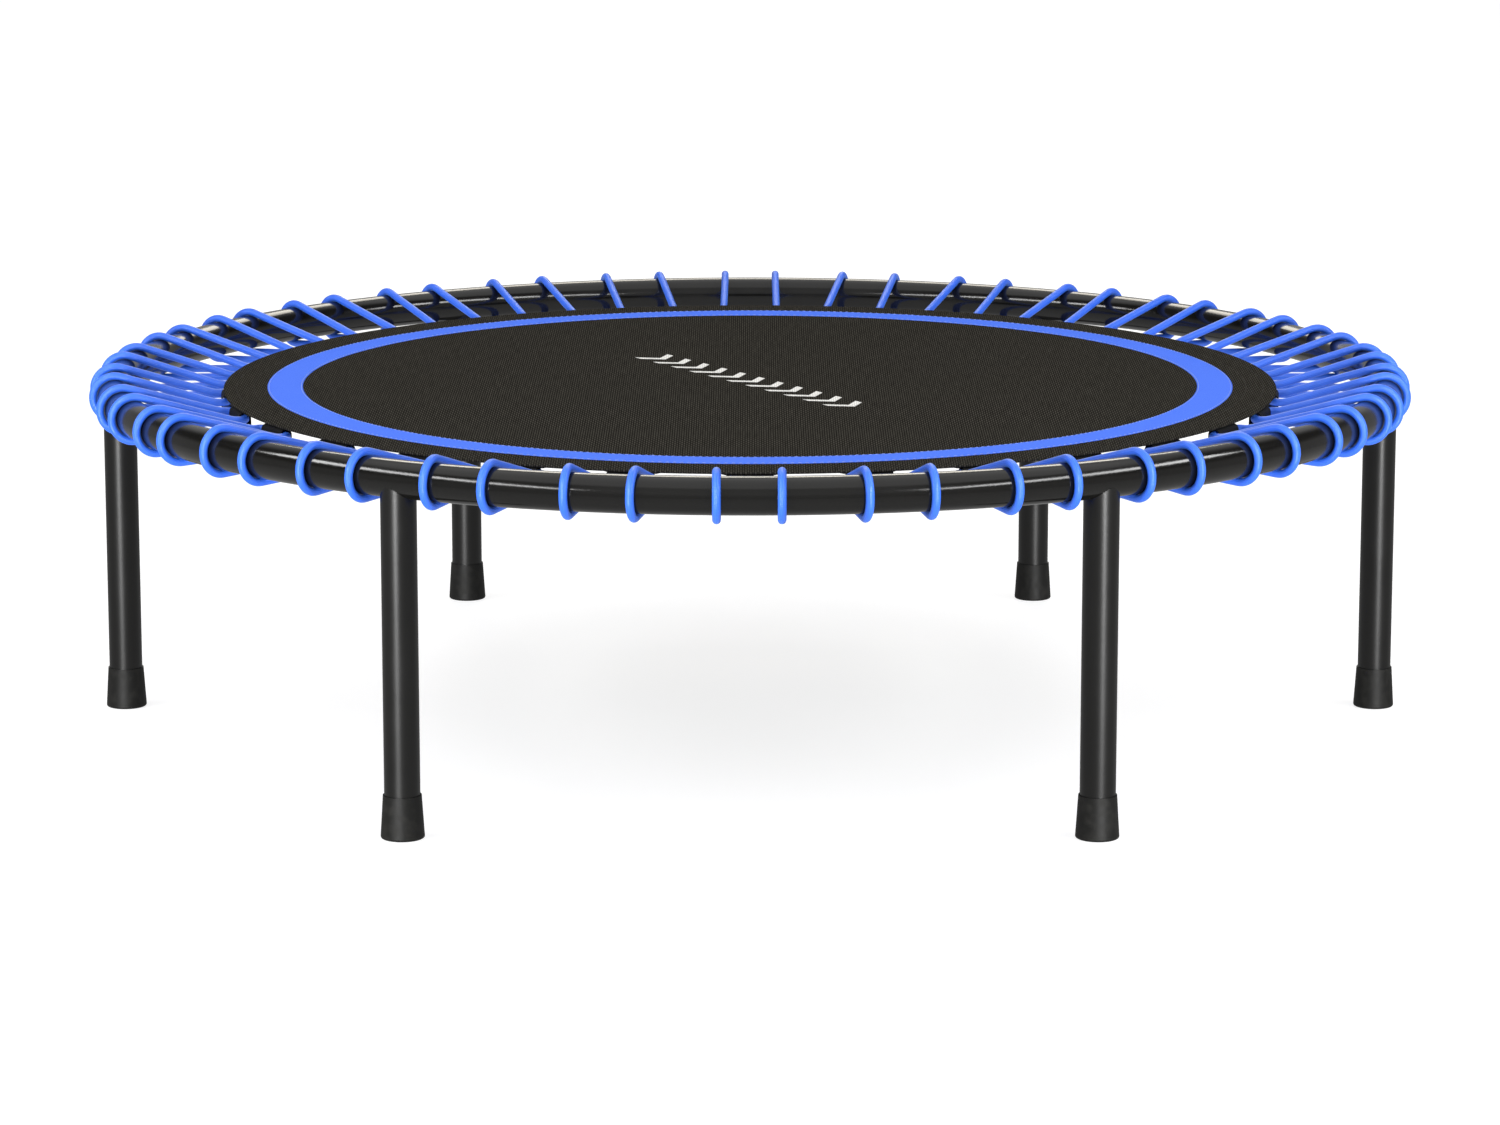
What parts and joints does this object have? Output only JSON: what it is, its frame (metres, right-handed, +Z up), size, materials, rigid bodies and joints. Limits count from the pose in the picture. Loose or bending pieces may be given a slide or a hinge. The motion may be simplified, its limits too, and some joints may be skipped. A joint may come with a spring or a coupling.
{
  "type": "mini trampoline",
  "caption": "Round indoor rebounder: a tubular steel ring on screw-in legs with rubber feet, and a woven jumping mat hung in it on blue bungee loops.",
  "frame": {"origin": "on the floor, at the centre of the ring", "axes": "+Z up; +X through leg 1, +Y between legs 2 and 3"},
  "size_m": [1.0092, 1.01, 0.2745],
  "materials": {
    "frame_paint": "gloss black powder coat",
    "plated_steel": "zinc plated",
    "foot_rubber": "matte moulded rubber",
    "bungee_cover": "braided polyester cover over a latex core",
    "mat_weave": "ribbed woven polypropylene",
    "mat_band_cloth": "smooth blue cloth sewn along both edges",
    "webbing": "black nylon webbing"
  },
  "bodies": {
    "frame": {"frame_ring": "frame_paint", "leg_stub_1": "frame_paint", "leg_stub_2": "frame_paint", "leg_stub_3": "frame_paint", "leg_stub_4": "frame_paint", "leg_stub_5": "frame_paint", "leg_stub_6": "frame_paint", "stub_insert_1": "plated_steel", "stub_insert_2": "plated_steel", "stub_insert_3": "plated_steel", "stub_insert_4": "plated_steel", "stub_insert_5": "plated_steel", "stub_insert_6": "plated_steel", "bungee_loops_1": "bungee_cover", "bungee_loops_2": "bungee_cover", "bungee_loops_3": "bungee_cover", "bungee_loops_4": "bungee_cover", "bungee_loops_5": "bungee_cover", "bungee_loops_6": "bungee_cover"},
    "mat": {"jump_mat": "mat_weave", "mat_band": "mat_band_cloth", "mat_hem": "webbing", "cord_sleeves_1": "webbing", "cord_sleeves_2": "webbing", "cord_sleeves_3": "webbing", "cord_sleeves_4": "webbing", "cord_sleeves_5": "webbing", "cord_sleeves_6": "webbing", "cord_ferrules_1": "plated_steel", "cord_ferrules_2": "plated_steel", "cord_ferrules_3": "plated_steel", "cord_ferrules_4": "plated_steel", "cord_ferrules_5": "plated_steel", "cord_ferrules_6": "plated_steel"},
    "leg_1": {"leg_tube_1": "frame_paint", "leg_stud_1": "plated_steel", "rubber_foot_1": "foot_rubber"},
    "leg_2": {"leg_tube_2": "frame_paint", "leg_stud_2": "plated_steel", "rubber_foot_2": "foot_rubber"},
    "leg_3": {"leg_tube_3": "frame_paint", "leg_stud_3": "plated_steel", "rubber_foot_3": "foot_rubber"},
    "leg_4": {"leg_tube_4": "frame_paint", "leg_stud_4": "plated_steel", "rubber_foot_4": "foot_rubber"},
    "leg_5": {"leg_tube_5": "frame_paint", "leg_stud_5": "plated_steel", "rubber_foot_5": "foot_rubber"},
    "leg_6": {"leg_tube_6": "frame_paint", "leg_stud_6": "plated_steel", "rubber_foot_6": "foot_rubber"}
  },
  "joints": [
    {"name": "mat_bounce", "type": "slide", "parent": "frame", "child": "mat", "axis": [0, 0, 1], "range_m": [-0.08, 0], "stiffness_N_per_m": 9000, "deforming": ["bungee_loops_1", "bungee_loops_2", "bungee_loops_3", "bungee_loops_4", "bungee_loops_5", "bungee_loops_6"]},
    {"name": "leg_1_unscrew", "type": "slide", "parent": "frame", "child": "leg_1", "axis": [0, 0, 1], "range_m": [-0.032, 0]},
    {"name": "leg_2_unscrew", "type": "slide", "parent": "frame", "child": "leg_2", "axis": [0, 0, 1], "range_m": [-0.032, 0]},
    {"name": "leg_3_unscrew", "type": "slide", "parent": "frame", "child": "leg_3", "axis": [0, 0, 1], "range_m": [-0.032, 0]},
    {"name": "leg_4_unscrew", "type": "slide", "parent": "frame", "child": "leg_4", "axis": [0, 0, 1], "range_m": [-0.032, 0]},
    {"name": "leg_5_unscrew", "type": "slide", "parent": "frame", "child": "leg_5", "axis": [0, 0, 1], "range_m": [-0.032, 0]},
    {"name": "leg_6_unscrew", "type": "slide", "parent": "frame", "child": "leg_6", "axis": [0, 0, 1], "range_m": [-0.032, 0]}
  ]
}
